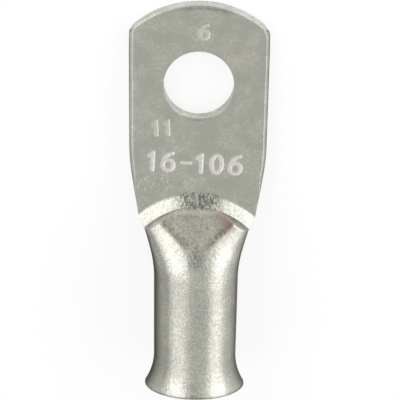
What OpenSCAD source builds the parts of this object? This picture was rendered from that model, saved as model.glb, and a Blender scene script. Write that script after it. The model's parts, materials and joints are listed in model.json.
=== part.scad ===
// Cable lug pressed from one piece of tube: the flat palm takes a stud, the round barrel takes the wire.
// Millimetres. The origin is the stud hole's centre on the palm's underside, +Z runs up along the stud,
// and the barrel's mouth points along -Y. Every distance "from the stud" is measured along the lug.

/* [Palm] */
// Width of the palm at its widest, near its free end
palm_w = 13.4; // [12.5:0.1:15]
// Thickness of the palm after coining
palm_t = 1.5; // [1.2:0.1:1.7]
// Distance from the stud to the free end of the palm
palm_end = 8; // [7:0.1:10]
// Radius of the curved free end, seen from above
end_r = 9.4; // [8:0.1:20]
// Width of the rounding along the palm's long side edges
edge_r = 0.45; // [0.3:0.05:1]
// How much the palm narrows between its widest and the place where the step meets its edges
waist_in = 2.3; // [1.4:0.05:2.8]
// Distance from the stud to where that narrowing starts
waist_start = 6.5; // [5.5:0.1:8]
// Distance from the stud to where that narrowing ends
waist_end = 16.6; // [15:0.1:18]
// Distance from the stud, towards the free end, over which the palm keeps its full width
full_w_at = 3; // [0:0.1:4]
// Narrowing of the palm per unit of length before the waist
side_lean = 0.035; // [0:0.005:0.06]

/* [Stud hole] */
// Diameter of the stud hole
stud_hole_d = 6.7; // [5:0.1:8.5]

/* [Barrel] */
// Outer diameter of the barrel, where the flare begins
barrel_od = 7.8; // [7.5:0.1:8.3]
// Growth of the barrel's radius from the flare to the neck
swell = 0.1; // [0:0.02:0.2]
// Thickness of the tube's wall
wall_t = 0.9; // [0.7:0.05:1]
// Distance from the stud to the barrel's mouth
mouth_at = 29.7; // [27:0.1:36]
// Outer diameter of the flared rim
rim_d = 9.44; // [9:0.02:9.8]
// Radius of the outward curve of the flare
flare_r = 5.9; // [4:0.1:7]
// Radius of the rim's outer edge
lip_r = 0.06; // [0.04:0.02:0.2]

/* [Neck] */
// Distance from the stud to where the tube begins to flatten
neck_at = 16.8; // [16.5:0.1:18]
// Half the length of the soft start of the flattening
neck_soft = 2.2; // [1.5:0.1:2.6]
// Flattening of each half of the tube per unit of length
neck_slope = 0.61; // [0.5:0.01:0.7]
// Growth of the tube's half width per flattening of each half
widening = 0.72; // [0.6:0.01:0.8]
// Height of the flattened tube at the top of the step
closed_h = 2.4; // [2.2:0.05:2.6]
// Share of the flattening that comes off the top of the tube
top_share = 0.8; // [0.6:0.05:0.9]
// Length over which the flattening fades out at the step
neck_fade = 0.2; // [0.1:0.1:1]
// Distance from the stud to the point of the flat on top of the neck
flat_tip_at = 16.5; // [15.8:0.1:17]
// Growth of that flat's half width per unit of length
flat_growth = 1.12; // [1:0.02:1.4]
// Length over which the flat's widening ends at the palm's edges
flat_soft = 0.6; // [0.2:0.1:1]

/* [Step] */
// Distance from the stud to the foot of the step, on the centre line
step_at = 10.75; // [10:0.05:11.5]
// Length of the step from its foot to its top edge
step_run = 1.3; // [1:0.05:1.6]
// Slope of the step's face, in degrees
step_lean = 36; // [25:1:50]
// Radius of the hollow curve at the foot of the step
step_fillet = 0.4; // [0.2:0.1:0.8]
// Radius of the foot of the step, seen from above
step_r = 8.2; // [7:0.1:12]

/* [Hidden] */

// Facets of the tube's skin, and rings along its neck, waist and flare
sides = 48;
neck_rings = 22;
waist_rings = 8;
flare_rings = 6;
lip_rings = 3;
hollow_steps = 3;

tin_grey = [0.66, 0.66, 0.62];

// The barrel. The wall of its flare bends round flare_centre, and the rim is cut off square.
barrel_r = barrel_od / 2;
bore_r = barrel_r - wall_t;
flare_centre = barrel_r + flare_r;
lip_centre = rim_d / 2 - lip_r;
flare_turn = acos((flare_centre - lip_centre) / (flare_r + lip_r));
flare_len = (flare_r + lip_r) * sin(flare_turn) + lip_r;
flare_at = mouth_at - flare_len;

// The neck
closed_squeeze = barrel_r - closed_h / 2;
barrel_sink = 2 * (1 - top_share) * closed_squeeze;
barrel_z = barrel_r - barrel_sink;
neck_start = neck_at + neck_soft;
neck_end = step_at + step_run;

// Stock beyond the palm's end and above its face, which the end trim and the coining take off
trim_stock = palm_end / 10;
coin_stock = 2 * barrel_od;

// The hollow of the neck ends as a slit before the step, with a small ledge round its start
slit_at = neck_end + closed_h / 3;
cavity_ledge = wall_t / 9;
cavity_rings = 12;
round_fn = 96;

function clamp01(x) = max(0, min(1, x));
function smooth01(x) = clamp01(x) * clamp01(x) * (3 - 2 * clamp01(x));

// The lower of two values, with a rounded change-over of the given size
function blend_min(a, b, size) =
    let (near = max(0, 1 - abs(a - b) / size)) min(a, b) - near * near * size / 4;

// How far each half of the tube has been pressed in, before and after the step stops it
function press(d) =
    let (u = neck_at - d)
    u <= -neck_soft ? 0 :
    u >= neck_soft ? neck_slope * u :
    neck_slope * pow(u + neck_soft, 2) / (4 * neck_soft);
function squeeze(d) = blend_min(press(d), closed_squeeze, neck_fade);

// How much wider the barrel is at d than at the flare
function swell_at(d) = swell * clamp01((flare_at - d) / (flare_at - neck_start));

// Half width of the flattened tube, which about keeps its girth, and of the pressed palm
function neck_half_w(d) = barrel_r + swell_at(d) + widening * press(d);
function palm_half_w(d) =
    palm_w / 2 - side_lean * max(0, d + full_w_at) / 2
    - waist_in / 2 * smooth01((d - waist_start) / (waist_end - waist_start));

// A cross-section at distance d from the stud: half width, flat share of that, half height, height of centre
function half_w(d) = min(neck_half_w(d), palm_half_w(d));
function half_h(d) = barrel_r - squeeze(d) + swell_at(d) * (1 - squeeze(d) / closed_squeeze);
function mid_z(d) = 2 * (1 - top_share) * squeeze(d) - barrel_sink + barrel_r - squeeze(d);
function flat_share(d) =
    max(0, blend_min(flat_growth * (flat_tip_at - d), half_w(d) - edge_r, flat_soft)) / half_w(d);

// One ring of the skin: an ellipse whose top and bottom are pressed flat, over the given share of its width
function ring(d, hw, flat, hh, z) = [
    for (i = [0 : sides - 1])
        let (
            along = min(i % (sides / 2), sides / 2 - i % (sides / 2)) / (sides / 4),
            side_x = i < sides / 4 || i > 3 * sides / 4 ? 1 : -1,
            side_z = i <= sides / 2 ? 1 : -1,
            round_part = 1 - flat / 3,
            t = acos(flat) * min(along / round_part, 1),
            x = along <= round_part ? cos(t) : flat * (1 - along) / (1 - round_part)
        )
        [side_x * hw * x, -d, z + side_z * hh * sin(t) / sqrt(1 - flat * flat)]
];
function round_ring(d, r) = ring(d, r, 0, r, barrel_z);
function body_ring(d) = ring(d, half_w(d), flat_share(d), half_h(d), mid_z(d));
function hollow_ring(d) =
    let (wall = wall_t + cavity_ledge)
    ring(d, half_w(d) - wall, flat_share(d), half_h(d) - wall, mid_z(d));

function span(from, to, count) = [for (i = [1 : count]) from + (to - from) * i / count];

// A closed skin through rings that run from the barrel's mouth towards the palm
module skin(rings) {
    last = len(rings) - 1;
    points = [for (r = rings) each r];
    end_faces = [
        [for (i = [sides - 1 : -1 : 0]) i],
        [for (i = [0 : sides - 1]) last * sides + i]
    ];
    side_faces = [
        for (k = [0 : last - 1])
            for (i = [0 : sides - 1])
                let (a = k * sides + i, b = k * sides + (i + 1) % sides)
                for (face = [[a, b + sides, a + sides], [a, b, b + sides]]) face
    ];
    polyhedron(points = points, faces = concat(end_faces, side_faces), convexity = 4);
}

// The outside of the lug, before the palm is coined, trimmed and drilled
module tube_skin() {
    lip = [
        for (t = span(0, 90 + flare_turn, lip_rings))
            round_ring(mouth_at - lip_r + lip_r * cos(t), lip_centre + lip_r * sin(t))
    ];
    flare = [
        for (t = span(flare_turn, 0, flare_rings))
            round_ring(flare_at + flare_r * sin(t), flare_centre - flare_r * cos(t))
    ];
    neck = [for (d = span(neck_start, neck_end, neck_rings)) body_ring(d)];
    waist = [for (d = span(neck_end, waist_start, waist_rings)) body_ring(d)];
    palm = [for (d = [-full_w_at, -palm_end - trim_stock]) body_ring(d)];
    skin(concat(
        [round_ring(mouth_at, lip_centre)], lip, flare,
        [round_ring(neck_start, barrel_r + swell)], neck, waist, palm
    ));
}

// Everything beyond the curved free end of the palm
module end_trim() {
    translate([0, 0, -coin_stock / 2])
        linear_extrude(coin_stock)
            difference() {
                translate([-palm_w, 0]) square([2 * palm_w, palm_end + 2 * trim_stock]);
                translate([0, palm_end - end_r]) circle(end_r, $fn = round_fn);
            }
}

// The space that the coining tool leaves: flat over the palm, and sloping up where it meets the step
module coining() {
    top_r = step_r - step_run;
    face_run = step_run - step_fillet * sin(step_lean);
    rise = step_fillet * (1 - cos(step_lean)) + face_run * tan(step_lean);
    hollow = [
        for (t = span(0, step_lean, hollow_steps))
            [step_r - step_fillet * sin(t), palm_t + step_fillet * (1 - cos(t))]
    ];
    difference() {
        translate([-palm_w, -neck_at, palm_t])
            cube([2 * palm_w, neck_at + palm_end + 2 * trim_stock, coin_stock]);
        translate([0, -step_at - step_r, 0])
            rotate_extrude($fn = round_fn)
                polygon(concat(
                    [[0, 0], [step_r, 0], [step_r, palm_t]],
                    hollow,
                    [[top_r, palm_t + rise], [top_r, 2 * coin_stock], [0, 2 * coin_stock]]
                ));
    }
}

// The drilled hole for the stud
module stud_hole() {
    translate([0, 0, -palm_t]) cylinder(h = 3 * palm_t, d = stud_hole_d, $fn = round_fn);
}

// The round bore for the wire, with the inside of the flare
module wire_bore() {
    straight = neck_start - flare_at;
    translate([0, -flare_at, barrel_z])
        rotate([90, 0, 0])
            rotate_extrude($fn = round_fn)
                difference() {
                    translate([0, straight]) square([flare_centre, flare_len + wall_t - straight]);
                    translate([bore_r, straight]) square([flare_centre, -straight]);
                    translate([flare_centre, 0]) circle(flare_r + wall_t, $fn = round_fn);
                }
}

// The hollow of the neck, from the end of the round bore to the slit where the walls meet
module neck_hollow() {
    skin(concat(
        [round_ring(neck_start + wall_t, bore_r - cavity_ledge)],
        [for (d = span(neck_start + wall_t / 2, slit_at, cavity_rings)) hollow_ring(d)]
    ));
}

module cable_lug() {
    color(tin_grey)
        difference() {
            tube_skin();
            end_trim();
            coining();
            stud_hole();
            wire_bore();
            neck_hollow();
        }
}

cable_lug();
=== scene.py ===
"""Dresses the cable lug: its pressed skin, stamped figures, drilled hole and worn tin with painted shade and
highlights, on a pale table.
"""

import json
import math

import bmesh
import bpy
import numpy as np
from bpy.props import FloatProperty, FloatVectorProperty, IntProperty, PointerProperty, StringProperty
from mathutils import Matrix, Vector


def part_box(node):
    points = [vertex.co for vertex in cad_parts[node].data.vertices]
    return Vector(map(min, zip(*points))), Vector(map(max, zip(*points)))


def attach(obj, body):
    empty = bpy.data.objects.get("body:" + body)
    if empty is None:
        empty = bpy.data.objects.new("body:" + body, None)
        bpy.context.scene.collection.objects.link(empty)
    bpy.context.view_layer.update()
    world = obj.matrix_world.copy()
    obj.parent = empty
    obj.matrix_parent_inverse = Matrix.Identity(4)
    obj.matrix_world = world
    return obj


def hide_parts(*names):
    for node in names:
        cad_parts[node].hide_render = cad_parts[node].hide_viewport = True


bl_info = {
    "name": "Cable Lug",
    "version": (1, 0, 0),
    "blender": (4, 5, 0),
    "location": "View3D > Sidebar > Cable Lug",
    "description": "Builds a tin-plated copper cable lug and the table it lies on",
    "category": "Object",
}

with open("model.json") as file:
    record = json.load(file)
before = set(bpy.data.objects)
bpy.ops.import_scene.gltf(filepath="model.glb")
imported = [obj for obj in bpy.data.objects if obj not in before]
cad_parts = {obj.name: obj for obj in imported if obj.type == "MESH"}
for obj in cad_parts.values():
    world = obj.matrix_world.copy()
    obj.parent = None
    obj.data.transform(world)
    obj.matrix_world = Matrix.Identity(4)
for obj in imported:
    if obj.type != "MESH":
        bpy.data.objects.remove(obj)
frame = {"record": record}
MM = 0.001
NODE = "cable_lug"
LOW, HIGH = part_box(NODE)
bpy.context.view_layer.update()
MOUNTS = {mount["name"]: mount for mount in frame["record"]["mounts"]}
STUD = MOUNTS["stud_hole"]
BORE = MOUNTS["wire_bore"]


def length(name, about, value):
    """A property that holds a length in metres."""
    return FloatProperty(name=name, description=about, default=value, unit="LENGTH", precision=5)


def number(name, about, value):
    """A property that holds a plain number."""
    return FloatProperty(name=name, description=about, default=value, precision=3)


def colour(name, about, value):
    """A property that holds a linear colour."""
    return FloatVectorProperty(name=name, description=about, default=value, size=3, subtype="COLOR",
                               min=0, max=1)


def angle(name, about, degrees):
    """A property that holds an angle."""
    return FloatProperty(name=name, description=about, default=math.radians(degrees), unit="ROTATION")


class LugSizes(bpy.types.PropertyGroup):
    """Sizes of the lug. Distances along it are measured from the stud hole."""

    palm_w: length("Palm width", "Width of the palm at its widest", HIGH.x - LOW.x)
    palm_t: length("Palm thickness", "Thickness of the coined palm", STUD["dims"]["length_mm"] * MM)
    palm_end: length("Palm end", "Distance to the free end of the palm", HIGH.y)
    end_r: length("End radius", "Radius of the curved free end, seen from above", 9.4 * MM)
    edge_r: length("Edge radius", "Width of the rounding along the palm's long sides", 0.32 * MM)
    side_fade: length("Side fade", "Length from the step over which the sides sink to the palm", 4.5 * MM)
    arris: length("Arris", "Rounding of the cut edges of the free end", 0.1 * MM)
    waist_in: length("Waist", "Narrowing of the palm towards the step", 2.3 * MM)
    waist_start: length("Waist start", "Distance to where that narrowing starts", 6.5 * MM)
    waist_end: length("Waist end", "Distance to where that narrowing ends", 16.6 * MM)
    full_w_at: length("Full width", "Distance towards the free end of the widest place", 3 * MM)
    side_lean: number("Side lean", "Narrowing of the palm per length before the waist", 0.035)
    stud_r: length("Stud hole radius", "Radius of the stud hole", STUD["dims"]["r_mm"] * MM)
    stud_break: length("Stud hole edge", "Rounding of the stud hole's edges", 0.07 * MM)
    left_corner_r: length("Left corner", "Radius of the left corner of the free end", 0.35 * MM)
    right_corner_r: length("Right corner", "Radius of the right corner of the free end", 0.75 * MM)
    bore_r: length("Bore radius", "Radius of the wire bore", BORE["dims"]["r_mm"] * MM)
    wall_t: length("Wall", "Thickness of the tube's wall", 0.9 * MM)
    mouth_at: length("Mouth", "Distance to the barrel's mouth", -LOW.y)
    barrel_z: length("Barrel height", "Height of the barrel's axis over the contact face", BORE["pos_m"][2])
    swell: length("Swell", "Growth of the barrel's radius from the flare to the neck", 0.1 * MM)
    flare_r: length("Flare radius", "Radius of the outward curve of the flare", 5.9 * MM)
    lip_r: length("Lip", "Rounding of the rim's two edges", 0.06 * MM)
    neck_at: length("Neck", "Distance to where the tube begins to flatten", 16.8 * MM)
    neck_soft: length("Neck start", "Half the length of the soft start of the flattening", 2.2 * MM)
    neck_slope: number("Neck slope", "Flattening of each half of the tube per length", 0.61)
    widening: number("Widening", "Growth of the half width per flattening of each half", 0.72)
    closed_h: length("Closed height", "Height of the flattened tube at the step", 2.4 * MM)
    top_share: number("Top share", "Share of the flattening that comes off the top", 0.8)
    neck_fade: length("Neck fade", "Length over which the flattening fades out", 0.2 * MM)
    flat_tip_at: length("Flat tip", "Distance to the point of the flat on the neck", 16.25 * MM)
    flat_growth: number("Flat growth", "Growth of that flat's half width per length", 1.22)
    flat_soft: length("Flat softness", "Length over which the flat widens to the palm's edges", 0.6 * MM)
    crease: length("Crease", "Softness of the bend along the flat's edges", 0.08 * MM)
    step_at: length("Step", "Distance to the foot of the step", 10.75 * MM)
    step_run: length("Step run", "Length of the step from its foot to its top edge", 1.3 * MM)
    step_lean: angle("Step slope", "Slope of the step's face", 38)
    step_fillet: length("Step fillet", "Radius of the hollow curve at the foot of the step", 0.6 * MM)
    step_r: length("Step radius", "Radius of the foot of the step, seen from above", 8.2 * MM)
    step_edge: length("Step edge", "Rounding of the edge on top of the step", 0.05 * MM)
    dent_depth: length("Dent depth", "Depth of the slight unevenness left by the press", 0.008 * MM)
    dent_size: length("Dent size", "Size of that unevenness", 2.2 * MM)
    seed: IntProperty(name="Seed", description="Seed of the unevenness", default=7)


class StampSizes(bpy.types.PropertyGroup):
    """The stamped figures."""

    figures: StringProperty(name="Figures", description="Plain numbers in the main row", default="16-106")
    stroke_r: length("Stroke half width", "Half width of a stroke at the face", 0.2 * MM)
    depth: length("Stamp depth", "Depth of the strokes", 0.035 * MM)
    burr: length("Stamp burr", "Height of the metal raised beside the strokes", 0.006 * MM)


class TinLook(bpy.types.PropertyGroup):
    """Colours and finish of the tin plate, among them the colours of its painted shade, highlights and
    reflection.
    """

    tin: colour("Tin", "Colour of the tin plate", (0.70, 0.694, 0.612))
    dull_tin: colour("Dull tin", "Colour of the greyer, duller patches", (0.47, 0.468, 0.415))
    dull_share: number("Dull share", "How far the duller patches take over", 0.7)
    warm_tin: colour("Warm tin", "Colour of the thinly plated, warmer patches", (0.72, 0.65, 0.50))
    copper: colour("Copper", "Colour where the copper shows through", (0.42, 0.24, 0.19))
    # Dark colour for dirt, also used for painted shade
    grime: colour("Grime", "Colour of the dark dirt in the corners", (0.17, 0.17, 0.15))
    # Pale colour for rubbed tin, also used for painted highlights and glints
    burnished: colour("Burnished", "Colour where the stamp or a scratch has polished it", (0.95, 0.93, 0.88))
    # How far the painted shade darkens the barrel's flanks, the mouth's rim and the bright lobes
    painted_flank_shade_share: number("Flank dulling", "How far the handled flanks of the barrel have gone dull", 0.95)
    inside: colour("Inside", "Colour of the tin inside the barrel", (0.40, 0.40, 0.36))
    # Pale, mostly matt colour of the cut faces, a painted reflection of the white table
    cut_face_painted_reflection: colour("Sheared", "Colour of the cut faces", (0.86, 0.86, 0.82))
    edge_tint: colour("Edge tint", "Tint of the metal at grazing angles", (0.12, 0.12, 0.12))
    roughness: number("Roughness", "Roughness of the plate", 0.33)
    grain_size: length("Grain size", "Size of the plate's grain", 0.16 * MM)
    relief: length("Relief", "Depth of the plate's fine relief", 0.018 * MM)
    waves: length("Waves", "Depth of the plate's wider unevenness", 0.03 * MM)


class StudioSizes(bpy.types.PropertyGroup):
    """Table, lamps and camera."""

    table: colour("Table", "Colour of the table", (0.96, 0.96, 0.96))
    table_glow: number("Table glow", "How far the camera and the metal see the table as plain white", 0.8)
    table_w: length("Table width", "Width of the table", 3.0)
    surround: colour("Surround", "Colour of the room round the table", (0.33, 0.342, 0.328))
    lamp_r: length("Lamp distance", "Distance of the soft lamps from the lug", 0.8)
    view_up: angle("View", "Lean of the view from straight down", 20)
    view_roll: angle("Roll", "Turn of the picture", 0.9)
    view_r: length("Camera distance", "Distance of the camera from the lug", 1.0)
    aim_x: length("Aim sideways", "Sideways place of the picture's middle", 0.28 * MM)
    aim_at: length("Aim", "Distance from the stud hole to the picture's middle", 11.6 * MM)
    px_per_m: number("Picture scale", "Pixels of the picture per metre at the palm", 10490.0)


def clamp01(x):
    return np.clip(x, 0.0, 1.0)


def smooth01(x):
    x = clamp01(x)
    return x * x * (3 - 2 * x)


def bump_at(x, place, width):
    """One at the given place, fading away over the given width."""
    return np.exp(-(((x - place) / width) ** 2))


def blend_min(a, b, size):
    """The lower of two values, with a rounded change-over."""
    near = np.maximum(0, 1 - np.abs(a - b) / size)
    return np.minimum(a, b) - near * near * size / 4


def span(start, end, count):
    """Evenly spaced values up to the end, without the start."""
    return np.linspace(start, end, count + 1)[1:]


class Lug:
    """The rule of the lug's shape: a cross-section for each distance d from the stud hole."""

    # Points round a ring, the least share of them on a round side, and rounds for fitting a ring to the step
    around = 224
    least_side = 0.38
    bow_rounds = 4
    # Slope of the coining tool's side, behind the step
    clear_slope = 3
    # Rings along each stretch of the skin
    arris_rings = 5
    palm_rings = 93
    step_rings = 41
    neck_rings = 49
    barrel_rings = 19
    flare_rings = 17
    edge_rings = 8
    bell_rings = 11
    bore_rings = 7
    hollow_rings = 23

    def __init__(self, s):
        self.s = s
        self.barrel_r = s.bore_r + s.wall_t
        self.rim_r = s.barrel_z - LOW.z
        self.flare_centre = self.barrel_r + s.flare_r
        self.bell_r = s.flare_r + s.wall_t
        self.flare_turn = math.acos((self.flare_centre + s.lip_r - self.rim_r) / (s.flare_r + s.lip_r))
        self.lip_at = s.mouth_at - s.lip_r
        self.flare_at = self.lip_at - (s.flare_r + s.lip_r) * math.sin(self.flare_turn)
        self.bell_turn = math.asin((self.lip_at - self.flare_at) / (self.bell_r - s.lip_r))
        self.closed = self.barrel_r - s.closed_h / 2
        self.sink = 2 * (1 - s.top_share) * self.closed
        self.neck_start = s.neck_at + s.neck_soft
        self.step_top = s.step_at + s.step_run
        self.slit_at = self.step_top + s.closed_h / 3
        half = self.around // 2
        index = np.arange(self.around)
        self.from_side = np.minimum(index % half, half - index % half) / (half / 2)
        self.side_x = np.where((index < half / 2) | (index > 3 * half / 2), 1.0, -1.0)
        self.side_z = np.where(index <= half, 1.0, -1.0)
        self.turn = 2 * math.pi * index / self.around

    def press(self, d):
        """How far each half of the tube has been pressed in."""
        s = self.s
        u = s.neck_at - d
        soft = s.neck_slope * (u + s.neck_soft) ** 2 / (4 * s.neck_soft)
        return np.where(u <= -s.neck_soft, 0, np.where(u >= s.neck_soft, s.neck_slope * u, soft))

    def swell(self, d):
        """How much wider the barrel is at d than at the flare."""
        return self.s.swell * clamp01((self.flare_at - d) / (self.flare_at - self.neck_start))

    def half_w(self, d):
        """Half width of the flattened tube, which about keeps its girth, or of the pressed palm."""
        s = self.s
        neck = self.barrel_r + self.swell(d) + s.widening * self.press(d)
        palm = s.palm_w / 2 - s.side_lean * np.maximum(0, d + s.full_w_at) / 2
        palm = palm - s.waist_in / 2 * smooth01((d - s.waist_start) / (s.waist_end - s.waist_start))
        return np.minimum(neck, palm)

    def section(self, d, u, inset=0.0):
        """Points of the cross-section at distances d, on the ring that crosses the centre line at u."""
        s = self.s
        squeeze = blend_min(self.press(d), self.closed, s.neck_fade)
        half_h = self.barrel_r - squeeze
        mid_z = 2 * (1 - s.top_share) * squeeze - self.sink + half_h
        half_h = half_h + self.swell(d) * (1 - squeeze / self.closed)
        coined = smooth01((s.step_at - u) / s.side_fade)
        half_h = half_h + (s.palm_t / 2 - half_h) * coined - inset
        mid_z = mid_z + (s.palm_t / 2 - mid_z) * coined
        half_w = self.half_w(d) - self.corner_cut(d) - inset
        flat = blend_min(s.flat_growth * (s.flat_tip_at - d), half_w - s.edge_r, s.flat_soft)
        flat_share = np.maximum(flat, 0) / half_w
        round_h = half_h / np.sqrt(1 - flat_share**2)
        edge_turn = np.arccos(flat_share)
        edge_share = self.edge_share(half_w, round_h, flat_share)
        t = edge_turn * np.minimum(self.from_side / edge_share, 1)
        on_flat = np.maximum(self.from_side - edge_share, 0) / np.maximum(1 - edge_share, 1e-6)
        x = np.where(on_flat > 0, flat_share * (1 - on_flat), np.cos(t)) * half_w
        z = blend_min(round_h * np.sqrt(1 - (x / half_w) ** 2), half_h, s.crease)
        return self.side_x * x, mid_z + self.side_z * z

    def corner_cut(self, d):
        """How much the rounded corners of the free end take off the palm's sides."""
        s = self.s
        side = s.palm_w / 2
        corner_d = s.end_r - math.sqrt(s.end_r**2 - side**2) - s.palm_end
        turn = math.asin(side / s.end_r)
        r = np.where(self.side_x > 0, s.right_corner_r, s.left_corner_r)
        past = np.clip(corner_d + r * math.tan(turn / 2) - d, 0, r * math.sin(turn))
        return r - np.sqrt(r * r - past * past)

    def edge_share(self, half_w, round_h, flat_share):
        """The share of a quarter section's points that go on its round side, by about how long it is."""
        mean_r = (np.sqrt((half_w**2 + round_h**2) / 2) + round_h) / 2
        side = np.arccos(flat_share) * mean_r
        return self.least_side + (1 - self.least_side) * side / (side + flat_share * half_w)

    def bow(self, u, x):
        """How much further from the stud a ring lies at x than on the centre line: it follows the step."""
        s = self.s
        on_palm = max(0.0, s.step_at - u) / (s.step_at + s.palm_end)
        on_step = min(max(u - s.step_at, 0.0), s.step_run)
        r = s.step_r + (s.end_r - s.step_r) * on_palm - on_step
        keep = 1 - float(smooth01((u - self.step_top) / (self.neck_start - self.step_top)))
        return keep * (r - np.sqrt(r * r - x * x))

    def coined_top(self, x, d):
        """Height of the coining tool's face: flat over the palm, sloped up the step, steep behind it."""
        s = self.s
        into = s.step_r - np.hypot(x, d - s.step_at - s.step_r)
        hollow_run = s.step_fillet * math.sin(s.step_lean)
        in_hollow = np.clip(into, 0, hollow_run)
        rise = s.step_fillet - np.sqrt(s.step_fillet**2 - in_hollow**2)
        rise = rise + np.maximum(into - hollow_run, 0) * math.tan(s.step_lean)
        return s.palm_t + rise + np.maximum(into - s.step_run, 0) * self.clear_slope

    def body_ring(self, u, inset=0.0):
        d = np.full(self.around, u)
        for _ in range(self.bow_rounds):
            x, z = self.section(d, u, inset)
            d = u + self.bow(u, x)
        top = self.coined_top(x, d) - inset
        z = np.where(self.side_z > 0, blend_min(z, top, self.s.step_edge), z)
        return np.stack([x, -d, z], axis=1)

    def hollow_ring(self, d):
        x, z = self.section(np.full(self.around, d), self.neck_start, self.s.wall_t)
        return np.stack([x, np.full(self.around, -d), z], axis=1)

    def round_ring(self, d, r):
        x, z = r * np.cos(self.turn), self.s.barrel_z + r * np.sin(self.turn)
        return np.stack([x, np.full(self.around, -d), z], axis=1)

    def rings(self):
        """All rings, from the palm's free end out to the mouth and back inside to the slit."""
        s = self.s
        arris = [
            self.body_ring(-s.palm_end + s.arris * (1 - math.cos(t)), s.arris * (1 - math.sin(t)))
            for t in np.linspace(0, math.pi / 2, self.arris_rings)
        ]
        step_from, step_to = s.step_at - s.edge_r, self.step_top + s.edge_r
        palm = span(-s.palm_end + s.arris, step_from, self.palm_rings)
        step = span(step_from, step_to, self.step_rings)
        neck = span(step_to, self.neck_start, self.neck_rings)
        outside = arris + [self.body_ring(float(u)) for u in np.concatenate([palm, step, neck])]
        barrel = [
            self.round_ring(d, self.barrel_r + self.swell(d))
            for d in span(self.neck_start, self.flare_at, self.barrel_rings)
        ]
        flare = [self.flare_ring(t, s.flare_r) for t in span(0, self.flare_turn, self.flare_rings)]
        quarter = math.pi / 2
        lip = self.lip_rings(s.flare_r + s.lip_r, self.flare_turn, quarter + self.flare_turn, 0)[1:]
        lip += self.lip_rings(self.bell_r - s.lip_r, self.bell_turn, 0, self.bell_turn - quarter)
        bell = [self.flare_ring(t, self.bell_r) for t in span(self.bell_turn, 0, self.bell_rings)]
        bore = [self.round_ring(d, s.bore_r) for d in span(self.flare_at, self.neck_start, self.bore_rings)]
        hollow = [self.hollow_ring(float(d)) for d in span(self.neck_start, self.slit_at, self.hollow_rings)]
        inner = len(outside) + len(barrel) + len(flare) + len(lip) // 2
        return outside + barrel + flare + lip + bell + bore + hollow, inner

    def lip_rings(self, centre_r, centre_turn, start, end):
        """Rings round one of the rim's edges. The rounding's centre lies centre_r from the flare's centre."""
        lip = self.s.lip_r
        r = self.flare_centre - centre_r * math.cos(centre_turn)
        turns = np.linspace(start, end, self.edge_rings)
        return [self.round_ring(self.lip_at + lip * math.cos(t), r + lip * math.sin(t)) for t in turns]

    def flare_ring(self, t, r):
        return self.round_ring(self.flare_at + r * math.sin(t), self.flare_centre - r * math.cos(t))


def skin_mesh(lug):
    """The closed skin of the lug, with its inside on the second material slot."""
    rings, inner = lug.rings()
    n = lug.around
    points = np.concatenate(rings)
    faces, slots = [], []
    for k in range(len(rings) - 1):
        for i in range(n):
            j = (i + 1) % n
            faces.append((k * n + i, (k + 1) * n + i, (k + 1) * n + j, k * n + j))
            slots.append(0 if k < inner else 1)
    for first, slot in ((0, 0), ((len(rings) - 1) * n, 1)):
        faces.append((first, first + 1, first + n - 1))
        slots.append(slot)
        for i in range(1, n // 2 - 1):
            faces.append((first + i, first + i + 1, first + n - i - 1, first + n - i))
            slots.append(slot)
        faces.append((first + n // 2 - 1, first + n // 2, first + n // 2 + 1))
        slots.append(slot)
    mesh = bpy.data.meshes.new(NODE)
    mesh.from_pydata(points.tolist(), [], faces)
    mesh.polygons.foreach_set("material_index", slots)
    bm = bmesh.new()
    bm.from_mesh(mesh)
    bmesh.ops.recalc_face_normals(bm, faces=bm.faces)
    bm.to_mesh(mesh)
    bm.free()
    return mesh


def new_node(tree, kind, operation=None):
    """A node of a tree, set to an operation where it has one."""
    node = tree.nodes.new(kind)
    if operation:
        node.operation = operation
    return node


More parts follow.
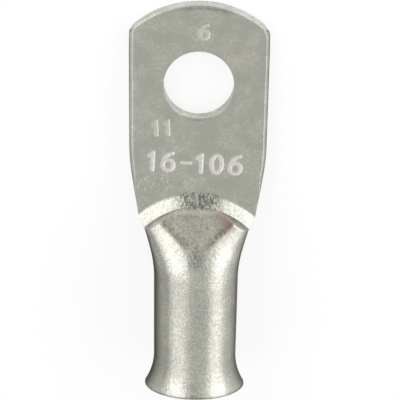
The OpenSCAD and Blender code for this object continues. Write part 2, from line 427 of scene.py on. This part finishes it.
def dents_tree(material):
    """A geometry node tree that gives a skin the slight unevenness of pressed and tumbled metal."""
    tree = bpy.data.node_groups.new("press_dents", "GeometryNodeTree")
    tree.interface.new_socket("Geometry", in_out="INPUT", socket_type="NodeSocketGeometry")
    for name in ("Depth", "Size", "Seed"):
        tree.interface.new_socket(name, in_out="INPUT", socket_type="NodeSocketFloat")
    tree.interface.new_socket("Geometry", in_out="OUTPUT", socket_type="NodeSocketGeometry")
    links = tree.links
    given = new_node(tree, "NodeGroupInput")
    result = new_node(tree, "NodeGroupOutput")
    place = new_node(tree, "GeometryNodeInputPosition")
    per_size = new_node(tree, "ShaderNodeMath", "DIVIDE")
    per_size.inputs[0].default_value = 1.0
    noise = new_node(tree, "ShaderNodeTexNoise")
    noise.noise_dimensions = "4D"
    noise.inputs["Detail"].default_value = 2.0
    centred = new_node(tree, "ShaderNodeMath", "SUBTRACT")
    centred.inputs[1].default_value = 0.5
    depth = new_node(tree, "ShaderNodeMath", "MULTIPLY")
    normal = new_node(tree, "GeometryNodeInputNormal")
    offset = new_node(tree, "ShaderNodeVectorMath", "SCALE")
    move = new_node(tree, "GeometryNodeSetPosition")
    real = new_node(tree, "GeometryNodeRealizeInstances")
    finish = new_node(tree, "GeometryNodeSetMaterial")
    finish.inputs["Material"].default_value = material
    outside = new_node(tree, "GeometryNodeInputMaterialIndex")
    is_outside = new_node(tree, "FunctionNodeCompare", "EQUAL")
    is_outside.data_type = "INT"
    links.new(given.outputs["Size"], per_size.inputs[1])
    links.new(place.outputs[0], noise.inputs["Vector"])
    links.new(per_size.outputs[0], noise.inputs["Scale"])
    links.new(given.outputs["Seed"], noise.inputs["W"])
    links.new(noise.outputs["Fac"], centred.inputs[0])
    links.new(centred.outputs[0], depth.inputs[0])
    links.new(given.outputs["Depth"], depth.inputs[1])
    links.new(normal.outputs[0], offset.inputs[0])
    links.new(depth.outputs[0], offset.inputs["Scale"])
    links.new(given.outputs["Geometry"], move.inputs["Geometry"])
    links.new(offset.outputs[0], move.inputs["Offset"])
    links.new(move.outputs[0], real.inputs[0])
    links.new(real.outputs[0], finish.inputs["Geometry"])
    links.new(outside.outputs[0], is_outside.inputs["A"])
    links.new(is_outside.outputs[0], finish.inputs["Selection"])
    links.new(finish.outputs[0], result.inputs[0])
    return tree


def applied(piece):
    """The piece's mesh with its modifiers worked in, and the modifiers gone."""
    depsgraph = bpy.context.evaluated_depsgraph_get()
    mesh = bpy.data.meshes.new_from_object(piece.evaluated_get(depsgraph), preserve_all_data_layers=True,
                                           depsgraph=depsgraph)
    piece.modifiers.clear()
    piece.data = mesh
    return piece


def arc(centre, radii, start, end, count=14):
    """Points of an elliptic arc, with its angles in degrees."""
    turns = np.radians(np.linspace(start, end, count))
    return [(centre[0] + radii[0] * math.cos(t), centre[1] + radii[1] * math.sin(t)) for t in turns]


# Advance and strokes of the plain figures, in shares of their height
FIGURE_SHARES = {
    "1": (0.83, [[(0.10, 0.78), (0.30, 1.0), (0.30, 0.0)]]),
    "6": (1.02, [arc((0.31, 0.31), (0.29, 0.31), 0, 360, 26), arc((0.58, 0.31), (0.56, 0.69), 180, 95)]),
    "0": (1.02, [arc((0.31, 0.5), (0.28, 0.5), 0, 360, 30)]),
    "-": (0.80, [[(0.06, 0.5), (0.50, 0.5)]]),
}

# Text, height, sideways place, distance from the stud hole, turn in degrees and shine of each row of figures,
# with None for the main text. The shine paints the strokes pale: partly the stamp's burnish, partly a painted
# highlight.
STAMP_ROWS = (
    (None, 1.75 * MM, 0.0 * MM, 7.87 * MM, -2.2, 1.0),
    ("6", 1.35 * MM, 0.68 * MM, -5.35 * MM, 0.0, 0.5),
    ("11", 1.35 * MM, -3.3 * MM, 4.35 * MM, 3.0, 0.5),
)

# Ends of a stroke's groove and of its shine, place and width of its burr, in shares of its half width
GROOVE_END = 1.35
SHINE_END = 1.45
BURR_AT = 1.3
BURR_W = 0.35

# Cuts across each face where figures are stamped, and share of the palm's thickness above which its top lies
STAMP_CUTS = 3
TOP_FROM = 0.8


def stamp_lines(stamp):
    """The strokes of each stamped row as line segments, centred on the row's middle."""
    rows = []
    for text, height, centre_x, distance, degrees, _ in STAMP_ROWS:
        text = text or stamp.figures
        x, lines = -sum(FIGURE_SHARES[c][0] for c in text) / 2, []
        for c in text:
            for stroke in FIGURE_SHARES[c][1]:
                points = [height * Vector((x + px, py - 0.5)) for px, py in stroke]
                lines += list(zip(points[:-1], points[1:]))
            x += FIGURE_SHARES[c][0]
        turn = Matrix.Rotation(math.radians(degrees), 2)
        shift = Vector((centre_x, -distance))
        rows.append([(turn @ a + shift, turn @ b + shift) for a, b in lines])
    return rows


def stroke_distance(places, lines):
    """Distance of each place on the palm from the nearest of the given strokes."""
    near = np.full(len(places), 1.0)
    for a, b in lines:
        along = np.array(b - a)
        start = np.array(a)
        share = clamp01((places - start) @ along / (along @ along))
        near = np.minimum(near, np.hypot(*(places - start - share[:, None] * along).T))
    return near


def stamp_figures(mesh, s, stamp, lines):
    """Presses one row into the palm: the face is divided finely there, and its points follow the strokes."""
    margin = 2 * stamp.stroke_r
    xs = [p.x for line in lines for p in line]
    ys = [p.y for line in lines for p in line]
    low = (min(xs) - margin, min(ys) - margin)
    high = (max(xs) + margin, max(ys) + margin)
    top_from = TOP_FROM * s.palm_t

    def inside(co):
        return low[0] < co.x < high[0] and low[1] < co.y < high[1] and co.z > top_from

    bm = bmesh.new()
    bm.from_mesh(mesh)
    faces = [f for f in bm.faces if all(inside(v.co) for v in f.verts)]
    edges = list({e for f in faces for e in f.edges})
    bmesh.ops.subdivide_edges(bm, edges=edges, cuts=STAMP_CUTS, use_grid_fill=True)
    verts = [v for v in bm.verts if inside(v.co)]
    near = stroke_distance(np.array([(v.co.x, v.co.y) for v in verts]), lines) / stamp.stroke_r
    grooves = smooth01(GROOVE_END - near)
    burrs = bump_at(near, BURR_AT, BURR_W)
    for v, groove, raised in zip(verts, grooves, burrs):
        v.co.z += stamp.burr * raised - stamp.depth * groove
    bm.to_mesh(mesh)
    bm.free()


# Turn and number of steps of the rounding of the stud hole's edges
BREAK_TURN = math.radians(72)
BREAK_STEPS = 6


def turned(name, profile, count=160):
    """A closed solid of revolution about Z through (radius, height) points."""
    rings = len(profile)
    points = [
        (r * math.cos(2 * math.pi * i / count), r * math.sin(2 * math.pi * i / count), z)
        for r, z in profile
        for i in range(count)
    ]
    faces = [
        (k * count + i, k * count + (i + 1) % count, (k + 1) * count + (i + 1) % count, (k + 1) * count + i)
        for k in range(rings - 1)
        for i in range(count)
    ]
    faces.append(tuple(range(count))[::-1])
    faces.append(tuple(range((rings - 1) * count, rings * count)))
    mesh = bpy.data.meshes.new(name)
    mesh.from_pydata(points, [], faces)
    return mesh


def drill(piece, s):
    """Cuts the stud hole, with a slightly rounded edge on both faces."""
    e, lean = s.stud_break, BREAK_TURN
    turns = np.linspace(0, lean, BREAK_STEPS)
    rise = [(e * (1 - math.cos(t)), e * (math.sin(t) - math.sin(lean))) for t in turns]
    upper = [(s.stud_r + out, s.palm_t + up) for out, up in rise]
    lower = [(s.stud_r + out, -up) for out, up in reversed(rise)]
    beyond = s.stud_r + e * (1 - math.cos(lean)) + s.palm_t / math.tan(lean)
    profile = [(beyond, -s.palm_t)] + lower + upper + [(beyond, 2 * s.palm_t)]
    cutter = bpy.data.objects.new("stud_drill", turned("stud_drill", profile))
    bpy.context.scene.collection.objects.link(cutter)
    cut = piece.modifiers.new("drill", "BOOLEAN")
    cut.operation = "DIFFERENCE"
    cut.solver = "EXACT"
    cut.object = cutter
    applied(piece)
    bpy.data.objects.remove(cutter)


# Turn between two faces above which their edge is kept sharp
SHARP_TURN = math.radians(35)


def soft_shading(mesh, sharp_above):
    """Smooth faces, with the edges that are bent more than the given angle kept sharp."""
    bm = bmesh.new()
    bm.from_mesh(mesh)
    for face in bm.faces:
        face.smooth = True
    for edge in bm.edges:
        edge.smooth = not (edge.is_manifold and edge.calc_face_angle(0) > sharp_above)
    bm.to_mesh(mesh)
    bm.free()


def hill(axis, at, width):
    """A share that is one at a place on an axis, and fades away over the given width."""
    return lambda axes: bump_at(axes[axis], at, width)


def rise(axis, start, over, low=0.0, high=1.0):
    """A share that goes smoothly from low to high, from the start on, over the given length of an axis."""
    return lambda axes: low + (high - low) * smooth01((axes[axis] - start) / over)


def plateau(axis, at, half, fade):
    """A share that is one within half a width of a place, and fades away beyond it."""
    return lambda axes: 1 - smooth01((np.abs(axes[axis] - at) - half) / fade)


def spot(x, d, width, squash=1.0):
    """A share that is one at a point seen from above, and fades away all round it."""
    return lambda axes: bump_at(np.hypot((axes["x"] - x) * squash, axes["d"] - d), 0, width)


def trail(start, end, width, low, high):
    """A share along a line between two points, which grows from low to high on the way."""
    way_x, way_d = end[0] - start[0], end[1] - start[1]

    def share(axes):
        x, d = axes["x"] - start[0], axes["d"] - start[1]
        along = clamp01((x * way_x + d * way_d) / (way_x**2 + way_d**2))
        off = np.hypot(x - way_x * along, d - way_d * along)
        return bump_at(off, 0, width) * (low + (high - low) * along)

    return share


def sided(left, right):
    """A share of its own for each side of the lug."""
    return lambda axes: np.where(axes["x"] > 0, right, left)


def wear_and_painted_light_places(s):
    """The places of each mask of wear, dirt, painted shade and painted highlights: a place's zone, its
    strength and the shares that shape it.

    Lengths are in millimetres. The axes are x, the distance d from the stud hole, the distance to either
    side, how far the face leans sideways, the way into the step, and the way from the fold, the end and the
    hole.
    """
    run, step, neck, mouth = s.step_run / MM, s.step_at / MM, s.neck_at / MM, s.mouth_at / MM
    return {
        "polished": (
            ("neck", 0.5, hill("x", at=-2.08, width=0.1), hill("d", at=13.0, width=0.8)),
            # Painted highlight along the rounded edge of the stud hole, at its sides
            ("near", 0.9, hill("hole", at=0.04, width=0.06), hill("side", at=2.1, width=0.7)),
            # Painted highlight on the top edge of the step at either side, stronger on the left
            ("near", 1.0, sided(left=0.8, right=0.4), hill("into", at=1.5, width=0.17),
             hill("side", at=3.6, width=0.8)),
        ),
        # Pale lines on the palm before the step's foot, stronger on the left: partly rubbed scratches, partly
        # painted glints
        "scuffs": (
            ("near", 1.0, hill("d", at=10.0, width=1.0), rise("x", start=-2.5, over=4.0, low=1, high=0)),
        ),
        # Painted shade: the barrel's flanks darken as their faces lean sideways, the left more than the
        # right, and the rim of the mouth darkens too
        "flank": (
            ("all", 1.0, sided(left=0.78, right=0.38), rise("lean", start=0.52, over=0.48),
             rise("lean", start=0.965, over=0.03, low=1, high=0.4), rise("d", start=step, over=2.5)),
            ("all", 0.8, rise("d", start=mouth - 0.3, over=0.2)),
        ),
        # Painted shade that dims the bright band on the outer sides of the step and two bright spots on the
        # neck's shoulders
        "dulled": (
            ("step", 0.95, rise("into", start=0.75, over=0.4), rise("side", start=4.3, over=0.8)),
            ("top", 0.45, spot(3.6, 14.0, width=1.2)),
            ("top", 0.3, spot(-3.6, 13.8, width=1.0)),
        ),
        "speckled": (
            ("all", 1.0, rise("into", start=run, over=0.8)),
            ("all", 1.0, rise("d", start=neck, over=1.0)),
        ),
        # Dark lines across the middle of the step's hollow foot: partly scrape marks, partly painted shade of
        # the hollow
        "streaks": (
            ("step", 1.0, rise("into", start=-0.05, over=0.25),
             rise("into", start=run, over=0.35, low=1, high=0), plateau("x", at=0.2, half=1.1, fade=1.6)),
        ),
        # Darker places: painted shade along the folds of the pressed neck and at the point of its flat; a
        # strip on top before the mouth, a spot on the barrel, a line in from the free end and a ring by the
        # stud hole
        "grime": (
            ("neck", 1.0, hill("fold", at=-0.4, width=0.5), rise("x", start=0, over=1, low=0.75, high=1.05),
             rise("d", start=12.2, over=1.5), rise("d", start=14.8, over=1.2, low=1, high=0)),
            ("neck", 1.2, hill("x", at=0, width=0.6), rise("d", start=14.6, over=0.8),
             rise("d", start=16.2, over=1.4, low=1, high=0)),
            ("top", 0.7, hill("x", at=-0.05, width=0.4), rise("d", start=mouth - 2, over=1.2)),
            ("top", 0.45, spot(-1.5, 18.4, width=0.4)),
            ("far", 1.0, hill("end", at=0.26, width=0.17), plateau("x", at=0.4, half=1.8, fade=1.6)),
            ("near", 1.0, hill("hole", at=0.16, width=0.12), hill("x", at=0, width=0.9)),
        ),
        "bare_copper": (
            ("neck", 1.0, trail((1.6, 12.35), (3.1, 13.45), width=0.3, low=0.25, high=0.95)),
        ),
        "warm": (
            ("neck", 1.0, spot(-2.1, 13.6, width=0.9)),
            ("neck", 1.0, spot(1.4, 13.9, width=0.8, squash=0.8)),
            ("top", 0.8, spot(3.65, -2.45, width=0.5)),
            ("top", 0.8, spot(2.1, 25.0, width=0.3)),
        ),
    }


def point_values(mesh, name):
    """The places or normals of a mesh's points, one row for each."""
    values = np.empty(3 * len(mesh.vertices))
    mesh.vertices.foreach_get(name, values)
    return values.reshape(-1, 3)


def wear_and_painted_light_masks(mesh, s, look, stamp):
    """Masks of wear, dirt, painted shade and painted highlights, each a named attribute, worked out from
    where the points lie.
    """
    co = point_values(mesh, "co")
    x, y, z = co.T / MM
    d = -y
    side = np.abs(x)
    end_r, half_w = s.end_r / MM, s.palm_w / 2 / MM
    into = s.step_r / MM - np.hypot(x, d - (s.step_at + s.step_r) / MM)
    axes = {
        "x": x,
        "d": d,
        "side": side,
        "lean": np.abs(point_values(mesh, "normal")[:, 0]),
        "into": into,
        "fold": side - np.maximum(s.flat_growth * (s.flat_tip_at / MM - d), 0),
        "end": s.palm_end / MM - end_r + np.sqrt(end_r**2 - np.minimum(side, half_w) ** 2) - y,
        "hole": np.hypot(x, y) - s.stud_r / MM,
    }
    on_top = z > TOP_FROM * s.palm_t / MM
    zones = {
        "all": 1.0,
        "top": on_top,
        "near": on_top & (d > 0) & (d < s.neck_at / MM),
        "far": on_top & (d < 0),
        "step": on_top & (d < (s.step_at + 2 * s.step_run) / MM),
        "neck": on_top & (into > s.step_run / MM) & (d < (s.neck_at + s.neck_soft) / MM),
    }
    masks = {}
    for name, marks in wear_and_painted_light_places(s).items():
        masks[name] = np.maximum.reduce([
            strength * zones[zone] * np.prod([share(axes) for share in shares], axis=0)
            for zone, strength, *shares in marks
        ])
    # The stamped strokes are painted pale: partly the stamp's burnish, partly a painted highlight of their
    # walls
    for row, lines in zip(STAMP_ROWS, stamp_lines(stamp)):
        strokes = row[-1] * smooth01(SHINE_END - stroke_distance(co[:, :2], lines) / stamp.stroke_r)
        masks["polished"] = np.maximum(masks["polished"], on_top * strokes)
    # The painted shade over the bright lobes joins the painted shade on the flanks
    masks["flank"] = look.painted_flank_shade_share * (masks["flank"] + masks.pop("dulled"))
    for name, values in masks.items():
        attribute = mesh.attributes.new(name, "FLOAT", "POINT")
        attribute.data.foreach_set("value", values.astype(np.float32))


# A cut face's normal leans less than this from level, and at the free end more than that towards the end. The
# last share says how far into the rounding of its edges a cut face may reach.
CUT_UP = 0.5
CUT_ALONG = 0.4
CUT_REACH = 0.3


def mark_cut_faces(mesh, s, slot):
    """Puts the cut free end and the wall of the stud hole on a material slot of their own, whose pale colour
    is a painted reflection.
    """
    for face in mesh.polygons:
        c, n = face.center, face.normal
        end_y = s.palm_end - s.end_r + math.sqrt(s.end_r**2 - min(abs(c.x), s.palm_w / 2) ** 2)
        at_end = n.y > CUT_ALONG and c.y > end_y - CUT_REACH * s.arris
        in_hole = math.hypot(c.x, c.y) < s.stud_r + CUT_REACH * s.stud_break
        if abs(n.z) < CUT_UP and (at_end or in_hole):
            face.material_index = slot


# Patterns of the plate's grain: name, whether it is drawn out along the lug, scale, detail and roughness
GRAINS = (
    ("Mottle", False, 0.6, 3.0, 0.6),
    ("Patches", False, 0.09, 3.0, 0.6),
    ("Height", False, 1.0, 2.0, 0.5),
    ("Specks", False, 1.1, 1.0, 0.5),
    ("Streaks", True, 0.9, 2.0, 0.65),
    ("Waves", False, 0.24, 2.0, 0.6),
)
DRAWN_OUT = (1.0, 0.42, 0.42)


def grain_group():
    """Plate grain: tones, patches, streaks and a fine relief, all from Object coordinates."""
    tree = bpy.data.node_groups.new("plate_grain", "ShaderNodeTree")
    tree.interface.new_socket("Size", in_out="INPUT", socket_type="NodeSocketFloat")
    for name, *_ in GRAINS:
        tree.interface.new_socket(name, in_out="OUTPUT", socket_type="NodeSocketFloat")
    links = tree.links
    given = new_node(tree, "NodeGroupInput")
    result = new_node(tree, "NodeGroupOutput")
    place = new_node(tree, "ShaderNodeTexCoord")
    drawn = new_node(tree, "ShaderNodeVectorMath", "MULTIPLY")
    drawn.inputs[1].default_value = DRAWN_OUT
    links.new(place.outputs["Object"], drawn.inputs[0])
    per_size = new_node(tree, "ShaderNodeMath", "DIVIDE")
    per_size.inputs[0].default_value = 1.0
    links.new(given.outputs["Size"], per_size.inputs[1])
    for name, is_drawn, scale_share, detail, rough in GRAINS:
        scale = new_node(tree, "ShaderNodeMath", "MULTIPLY")
        scale.inputs[1].default_value = scale_share
        links.new(per_size.outputs[0], scale.inputs[0])
        texture = new_node(tree, "ShaderNodeTexNoise")
        texture.inputs["Detail"].default_value = detail
        texture.inputs["Roughness"].default_value = rough
        links.new(scale.outputs[0], texture.inputs["Scale"])
        links.new(drawn.outputs[0] if is_drawn else place.outputs["Object"], texture.inputs["Vector"])
        links.new(texture.outputs["Fac"], result.inputs[name])
    return tree


class Painter:
    """Builds a material's colour step by step from masks and plate grain."""

    def __init__(self, material, grain, size):
        self.tree, self.links = material.node_tree, material.node_tree.links
        plate = new_node(self.tree, "ShaderNodeGroup")
        plate.node_tree = grain
        plate.inputs["Size"].default_value = size
        self.grain = plate.outputs

    def ramp(self, grain, low, high, at_low, at_high):
        """A value that goes from one to the other between two values of a grain."""
        node = new_node(self.tree, "ShaderNodeMapRange")
        node.inputs["From Min"].default_value = low
        node.inputs["From Max"].default_value = high
        node.inputs["To Min"].default_value = at_low
        node.inputs["To Max"].default_value = at_high
        self.links.new(self.grain[grain], node.inputs["Value"])
        return node.outputs["Result"]

    def math(self, operation, first, second):
        node = new_node(self.tree, "ShaderNodeMath", operation)
        self.feed(node.inputs[0], first)
        self.feed(node.inputs[1], second)
        return node.outputs[0]

    def mask(self, name):
        node = new_node(self.tree, "ShaderNodeAttribute")
        node.attribute_name = name
        return node.outputs["Fac"]

    def mix(self, factor, first, second):
        node = new_node(self.tree, "ShaderNodeMix")
        node.data_type = "RGBA"
        self.feed(node.inputs["Factor"], factor)
        self.feed(node.inputs[6], first)
        self.feed(node.inputs[7], second)
        return node.outputs[2]

    def bump(self, grain, distance, under=None):
        node = new_node(self.tree, "ShaderNodeBump")
        node.inputs["Distance"].default_value = distance
        node.inputs["Strength"].default_value = 1.0
        self.links.new(self.grain[grain], node.inputs["Height"])
        if under:
            self.links.new(under, node.inputs["Normal"])
        return node.outputs["Normal"]

    def feed(self, socket, value):
        if isinstance(value, bpy.types.NodeSocket):
            self.links.new(value, socket)
        elif isinstance(value, (int, float)):
            socket.default_value = value
        else:
            socket.default_value = (*value, 1)


# Duller layers all over the plate: grain, two of its values and the layer's share at the second
DULL_LAYERS = (
    ("Mottle", 0.36, 0.62, 0.75),
    ("Specks", 0.3, 0.7, 0.7),
)

# Layers of wear, dirt, painted shade and painted highlights in the order in which they are laid on: mask,
# colour, extra roughness, and for each grain that breaks the layer up, its name, two of its values and the
# layer's share at each
WEAR_AND_PAINTED_LIGHT_LAYERS = (
    ("speckled", "grime", 0.0, (("Height", 0.5, 0.66, 0.0, 0.2),)),
    ("speckled", "burnished", 0.0, (("Height", 0.5, 0.34, 0.0, 0.25),)),
    # Painted shade on the barrel's flanks, its mouth's rim and the bright lobes, in the dark colour
    ("flank", "grime", 0.0, ()),
    ("scuffs", "burnished", 0.0, (("Streaks", 0.54, 0.66, 0.0, 0.5),)),
    # Rubbed places, stamped strokes and painted highlights, in the pale colour
    ("polished", "burnished", 0.0, (("Specks", 0.3, 0.6, 0.9, 0.65),)),
    ("warm", "warm_tin", 0.0, (("Mottle", 0.4, 0.62, 0.2, 1.0),)),
    ("streaks", "grime", 0.2, (("Streaks", 0.46, 0.57, 1.0, 0.12),)),
    ("grime", "grime", 0.0, (("Specks", 0.4, 0.6, 0.8, 0.5), ("Mottle", 0.42, 0.6, 1.0, 0.3))),
    ("bare_copper", "copper", 0.0, (("Mottle", 0.4, 0.55, 0.4, 1.0),)),
)

# Least and greatest departure from the plate's roughness
ROUGH_RANGE = (-0.05, 0.07)


def tin_material(name, look, grain, base, worn=True, metallic=1.0, rough_more=0.0):
    """Tin plate over copper: mottled satin metal, with wear, scrape lines, dirt and bare copper where they
    are laid on, and painted shade and painted highlights.
    """
    material = bpy.data.materials.new(name)
    material.use_nodes = True
    shader = material.node_tree.nodes["Principled BSDF"]
    shader.inputs["Metallic"].default_value = metallic
    shader.inputs["Specular Tint"].default_value = (*look.edge_tint, 1)
    paint = Painter(material, grain, look.grain_size)
    tone = paint.mix(paint.ramp("Patches", 0.4, 0.6, 0.0, look.dull_share), base, look.dull_tin)
    for grain_name, low, high, share in DULL_LAYERS:
        tone = paint.mix(paint.ramp(grain_name, low, high, 0.0, share), tone, look.dull_tin)
    roughness = paint.ramp("Mottle", 0.35, 0.65, *(look.roughness + more for more in ROUGH_RANGE))
    for mask, colour_name, rougher, breaks in WEAR_AND_PAINTED_LIGHT_LAYERS if worn else ():
        share = paint.mask(mask)
        for broken in breaks:
            share = paint.math("MULTIPLY", share, paint.ramp(*broken))
        tone = paint.mix(share, tone, getattr(look, colour_name))
        if rougher:
            roughness = paint.math("ADD", roughness, paint.math("MULTIPLY", share, rougher))
    paint.links.new(tone, shader.inputs["Base Color"])
    paint.links.new(paint.math("ADD", roughness, rough_more), shader.inputs["Roughness"])
    relief = paint.bump("Height", look.relief, under=paint.bump("Waves", look.waves))
    paint.links.new(relief, shader.inputs["Normal"])
    return material


class CABLELUG_OT_press_lug(bpy.types.Operator):
    """Presses the lug from its tube, stamps its figures and drills its palm"""

    bl_idname = "cablelug.press_lug"
    bl_label = "Press Lug"

    def execute(self, context):
        scene = context.scene
        s, look = scene.lug_sizes, scene.lug_look
        grain = grain_group()
        outside = tin_material("tin_plate", look, grain, look.tin)
        inside = tin_material("tin_inside", look, grain, look.inside, worn=False, rough_more=0.1)
        # The cut faces are pale and mostly matt, a painted reflection of the table
        cut_face_painted_reflection = tin_material("tin_sheared", look, grain, look.cut_face_painted_reflection, worn=False, metallic=0.3,
                               rough_more=0.2)
        mesh = skin_mesh(Lug(s))
        for material in (outside, inside, cut_face_painted_reflection):
            mesh.materials.append(material)
        piece = bpy.data.objects.new("pressed_lug", mesh)
        scene.collection.objects.link(piece)
        uneven = piece.modifiers.new("press_dents", "NODES")
        uneven.node_group = dents_tree(outside)
        sockets = {item.name: item.identifier for item in uneven.node_group.interface.items_tree
                   if item.in_out == "INPUT"}
        uneven[sockets["Depth"]] = s.dent_depth
        uneven[sockets["Size"]] = s.dent_size
        uneven[sockets["Seed"]] = float(s.seed)
        applied(piece)
        for lines in stamp_lines(scene.lug_stamp):
            stamp_figures(piece.data, s, scene.lug_stamp, lines)
        drill(piece, s)
        mark_cut_faces(piece.data, s, 2)
        wear_and_painted_light_masks(piece.data, s, look, scene.lug_stamp)
        soft_shading(piece.data, SHARP_TURN)
        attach(piece, "root")
        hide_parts(NODE)
        return {"FINISHED"}


def table_material(studio):
    """A pale matt table with the lug's shadow, which the camera and the metal see mostly as plain white."""
    material = bpy.data.materials.new("pale_table")
    material.use_nodes = True
    tree, links = material.node_tree, material.node_tree.links
    shader = tree.nodes["Principled BSDF"]
    rays = new_node(tree, "ShaderNodeLightPath")
    seen = rays.outputs["Is Camera Ray"]
    for name in ("Is Glossy Ray", "Is Transmission Ray"):
        either = new_node(tree, "ShaderNodeMath", "MAXIMUM")
        links.new(seen, either.inputs[0])
        links.new(rays.outputs[name], either.inputs[1])
        seen = either.outputs[0]
    share = new_node(tree, "ShaderNodeMath", "MULTIPLY")
    share.inputs[1].default_value = studio.table_glow
    links.new(seen, share.inputs[0])
    white = new_node(tree, "ShaderNodeEmission")
    white.inputs["Strength"].default_value = 1.0
    mixed = new_node(tree, "ShaderNodeMixShader")
    links.new(share.outputs[0], mixed.inputs["Fac"])
    links.new(shader.outputs[0], mixed.inputs[1])
    links.new(white.outputs[0], mixed.inputs[2])
    links.new(mixed.outputs[0], tree.nodes["Material Output"].inputs["Surface"])
    shader.inputs["Base Color"].default_value = (*studio.table, 1)
    shader.inputs["Roughness"].default_value = 0.9
    shader.inputs["Specular IOR Level"].default_value = 0.1
    return material


# The lamps are a little less green than the room
LAMP_TINT = (1.0, 0.985, 1.01)


def strip_lamp(scene, name, target, r, turns, reach, strength):
    """A soft lamp that lies along the lug, between two angles from straight up and two distances along it."""
    middle, half = math.radians(sum(turns) / 2), math.radians(turns[1] - turns[0]) / 2
    data = bpy.data.lights.new(name, "AREA")
    data.shape = "RECTANGLE"
    data.size, data.size_y = 2 * r * math.tan(half), reach[1] - reach[0]
    data.energy = strength * math.pi * data.size * data.size_y
    data.color = LAMP_TINT
    lamp = bpy.data.objects.new(name, data)
    turn = Matrix.Rotation(middle, 4, "Y")
    place = target + turn @ Vector((0, 0, r)) + Vector((0, sum(reach) / 2, 0))
    lamp.matrix_world = Matrix.Translation(place) @ turn
    lamp.visible_camera = False
    scene.collection.objects.link(lamp)
    return lamp


# Each lamp's name, share of the lamp distance, angles from straight up, distances along the lug and strength
LAMPS = (
    ("left_lamp", 1.0, (-73, -23), (-0.8, 1.6), 1.07),
    ("right_lamp", 1.0, (41, 84), (-0.8, 1.6), 1.46),
    ("left_back_lamp", 1.1, (-73, -23), (0.1, 1.8), 0.87),
    ("right_back_lamp", 1.1, (36, 84), (0.1, 1.8), 0.87),
    ("overhead_lamp", 1.6, (-24, 34), (-1.4, 2.6), 0.335),
)


# Width of the picture in pixels
PICTURE_W = 400


class CABLELUG_OT_set_table(bpy.types.Operator):
    """Sets the table under the lug, the soft lamps, the room and the camera"""

    bl_idname = "cablelug.set_table"
    bl_label = "Set Table"

    def execute(self, context):
        scene = context.scene
        studio, s = scene.lug_studio, scene.lug_sizes
        middle = Vector((0, -studio.aim_at, s.palm_t))
        self.add_table(scene, studio, s)
        self.add_lamps(scene, studio, middle)
        self.add_camera(scene, studio, middle)
        return {"FINISHED"}

    def add_table(self, scene, studio, s):
        """The table touches the barrel's rim and the palm's free end, which is how the lug comes to rest."""
        lug = Lug(s)
        rim = Vector((0, -lug.flare_at - s.flare_r * math.sin(lug.flare_turn), LOW.z))
        tip = Vector((0, s.palm_end, 0))
        slope = math.atan2(tip.z - rim.z, tip.y - rim.y)
        half = studio.table_w / 2
        turn = Matrix.Rotation(slope, 4, "X")
        signs = ((-1, -1), (1, -1), (1, 1), (-1, 1))
        corners = [(rim + tip) / 2 + turn @ Vector((x * half, y * half, 0)) for x, y in signs]
        mesh = bpy.data.meshes.new("table")
        mesh.from_pydata(corners, [], [(0, 1, 2, 3)])
        mesh.materials.append(table_material(studio))
        table = bpy.data.objects.new("table", mesh)
        scene.collection.objects.link(table)

    def add_lamps(self, scene, studio, middle):
        for name, share, turns, reach, strength in LAMPS:
            strip_lamp(scene, name, middle, studio.lamp_r * share, turns, reach, strength)
        world = bpy.data.worlds.new("room")
        world.use_nodes = True
        world.node_tree.nodes["Background"].inputs["Color"].default_value = (*studio.surround, 1)
        scene.world = world
        scene.view_settings.view_transform = "Standard"

    def add_camera(self, scene, studio, middle):
        data = bpy.data.cameras.new("camera")
        view_w = PICTURE_W / studio.px_per_m
        data.lens = data.sensor_width * studio.view_r / view_w
        camera = bpy.data.objects.new("camera", data)
        aim = middle + Vector((studio.aim_x, 0, 0))
        away = Vector((0, math.sin(studio.view_up), math.cos(studio.view_up)))
        back = Matrix.Rotation(-studio.view_up, 4, "X")
        roll = Matrix.Rotation(studio.view_roll, 4, "Z")
        camera.matrix_world = Matrix.Translation(aim + away * studio.view_r) @ back @ roll
        scene.collection.objects.link(camera)
        scene.camera = camera


class CABLELUG_PT_tools(bpy.types.Panel):
    """Lists the steps that build the lug"""

    bl_label = "Cable Lug"
    bl_idname = "CABLELUG_PT_tools"
    bl_space_type = "VIEW_3D"
    bl_region_type = "UI"
    bl_category = "Cable Lug"

    def draw(self, context):
        for step in STEPS:
            self.layout.operator(step.bl_idname)


STEPS = (CABLELUG_OT_press_lug, CABLELUG_OT_set_table)
GROUPS = {"lug_sizes": LugSizes, "lug_stamp": StampSizes, "lug_look": TinLook, "lug_studio": StudioSizes}


def register():
    for cls in (*GROUPS.values(), *STEPS, CABLELUG_PT_tools):
        bpy.utils.register_class(cls)
    for name, group in GROUPS.items():
        setattr(bpy.types.Scene, name, PointerProperty(type=group))


def unregister():
    for name in GROUPS:
        delattr(bpy.types.Scene, name)
    for cls in (CABLELUG_PT_tools, *reversed(STEPS), *reversed(GROUPS.values())):
        bpy.utils.unregister_class(cls)


def main():
    register()
    bpy.ops.cablelug.press_lug()
    bpy.ops.cablelug.set_table()


if __name__ == "__main__":
    main()
